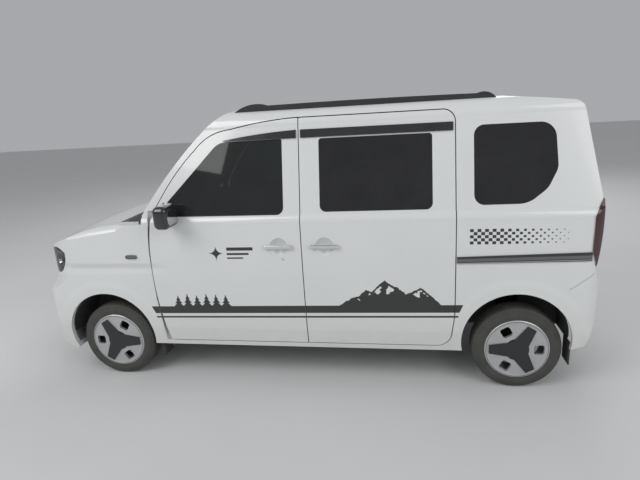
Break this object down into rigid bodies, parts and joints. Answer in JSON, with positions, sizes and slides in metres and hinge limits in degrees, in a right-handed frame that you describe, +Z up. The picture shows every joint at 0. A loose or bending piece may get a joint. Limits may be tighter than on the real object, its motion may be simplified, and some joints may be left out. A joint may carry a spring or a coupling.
{
  "type": "microvan",
  "caption": "Compact one-box passenger van with sliding side doors, a short bonnet, tall glass, roof rails and a top-hinged tailgate.",
  "frame": {"origin": "on the ground, in the middle of the van's length and width", "axes": "+X to the rear, -Y to the van's left side, +Z up"},
  "size_m": [3.88, 1.97, 1.8851],
  "materials": {
    "body_paint": "gloss",
    "bumper_paint": "gloss",
    "underbody_coat": "matte",
    "black_plastic": "matte",
    "clear_glass": "polished",
    "privacy_glass": "polished",
    "handle_chrome": "polished",
    "visor_plastic": "gloss",
    "track_trim": "satin",
    "rail_metal": "satin",
    "lamp_lens": "polished",
    "tail_lamp_lens": "polished",
    "flap_rubber": "matte",
    "cabin_plastic": "matte",
    "seat_fabric": "matte",
    "battery_case": "matte",
    "chassis_iron": "matte",
    "spring_steel": "satin",
    "mirror_shell": "gloss",
    "steering_rim": "satin",
    "wheel_cover": "satin",
    "tyre_rubber": "matte"
  },
  "bodies": {
    "body": {"body_side_left": "body_paint", "body_side_right": "body_paint", "roof_panel": "body_paint", "underbody": "underbody_coat", "front_fenders": "body_paint", "front_bumper": "bumper_paint", "lower_grille": "black_plastic", "rear_bumper": "bumper_paint", "windscreen": "clear_glass", "cowl_panel": "black_plastic", "wipers": "black_plastic", "quarter_glasses": "privacy_glass", "sliding_doors": "body_paint", "sliding_door_glasses": "privacy_glass", "sliding_door_handles": "handle_chrome", "sliding_door_visors": "visor_plastic", "sliding_door_tracks": "track_trim", "roof_rails": "rail_metal", "front_lamps": "lamp_lens", "tail_lamps": "tail_lamp_lens", "mud_flaps": "flap_rubber", "dashboard": "cabin_plastic", "steering_column": "cabin_plastic", "front_seats": "seat_fabric", "second_row_seat": "seat_fabric", "third_row_seat": "seat_fabric", "battery_pack": "battery_case", "rear_axle": "chassis_iron", "leaf_springs": "spring_steel", "front_suspension": "chassis_iron", "wheel_liners": "black_plastic", "door_hinge_pins": "spring_steel", "lid_hinge_pins": "spring_steel", "front_tray": "black_plastic"},
    "front_door_left": {"front_door_left": "body_paint", "front_door_glass_left": "clear_glass", "door_mirror_left": "mirror_shell", "front_door_handle_left": "handle_chrome", "front_door_visor_left": "visor_plastic"},
    "front_door_right": {"front_door_right": "body_paint", "front_door_glass_right": "clear_glass", "door_mirror_right": "mirror_shell", "front_door_handle_right": "handle_chrome", "front_door_visor_right": "visor_plastic"},
    "tailgate": {"tailgate": "body_paint", "tailgate_glass": "privacy_glass", "tailgate_handle": "handle_chrome"},
    "bonnet": {"bonnet": "body_paint"},
    "knuckle_left": {"steering_knuckle_left": "chassis_iron"},
    "knuckle_right": {"steering_knuckle_right": "chassis_iron"},
    "wheel_front_left": {"wheel_front_left": "wheel_cover", "tyre_front_left": "tyre_rubber"},
    "wheel_front_right": {"wheel_front_right": "wheel_cover", "tyre_front_right": "tyre_rubber"},
    "wheel_rear_left": {"wheel_rear_left": "wheel_cover", "tyre_rear_left": "tyre_rubber"},
    "wheel_rear_right": {"wheel_rear_right": "wheel_cover", "tyre_rear_right": "tyre_rubber"},
    "steering_wheel": {"steering_wheel": "steering_rim"}
  },
  "joints": [
    {"name": "front_door_left_hinge", "type": "hinge", "parent": "body", "child": "front_door_left", "pos_m": [-0.927, -0.782, 0.715], "axis": [0, 0, -1], "range_deg": [0, 65]},
    {"name": "front_door_right_hinge", "type": "hinge", "parent": "body", "child": "front_door_right", "pos_m": [-0.927, 0.782, 0.715], "axis": [0, 0, 1], "range_deg": [0, 65]},
    {"name": "tailgate_hinge", "type": "hinge", "parent": "body", "child": "tailgate", "pos_m": [1.714, 0, 1.79], "axis": [0, -1, 0], "range_deg": [0, 82]},
    {"name": "bonnet_hinge", "type": "hinge", "parent": "body", "child": "bonnet", "pos_m": [-1.24, 0, 1.112], "axis": [0, 1, 0], "range_deg": [0, 50]},
    {"name": "steer_left", "type": "hinge", "parent": "body", "child": "knuckle_left", "pos_m": [-1.352, -0.68, 0.278], "axis": [0, 0, 1], "range_deg": [-35, 35]},
    {"name": "steer_right", "type": "hinge", "parent": "body", "child": "knuckle_right", "pos_m": [-1.352, 0.68, 0.278], "axis": [0, 0, 1], "range_deg": [-35, 35]},
    {"name": "steering_wheel_turn", "type": "hinge", "parent": "body", "child": "steering_wheel", "pos_m": [-0.61, -0.35, 1.01], "axis": [0.891, 0, 0.454], "range_deg": [-540, 540]},
    {"name": "wheel_front_left_spin", "type": "hinge", "parent": "knuckle_left", "child": "wheel_front_left", "pos_m": [-1.352, -0.6905, 0.278], "axis": [0, 1, 0], "continuous": true},
    {"name": "wheel_front_right_spin", "type": "hinge", "parent": "knuckle_right", "child": "wheel_front_right", "pos_m": [-1.352, 0.6905, 0.278], "axis": [0, 1, 0], "continuous": true},
    {"name": "wheel_rear_left_spin", "type": "hinge", "parent": "body", "child": "wheel_rear_left", "pos_m": [1.428, -0.6905, 0.278], "axis": [0, 1, 0], "continuous": true},
    {"name": "wheel_rear_right_spin", "type": "hinge", "parent": "body", "child": "wheel_rear_right", "pos_m": [1.428, 0.6905, 0.278], "axis": [0, 1, 0], "continuous": true}
  ],
  "couplings": [
    {"joint": "steer_right", "follows": "steer_left", "ratio": 1},
    {"joint": "steering_wheel_turn", "follows": "steer_left", "ratio": 15}
  ]
}
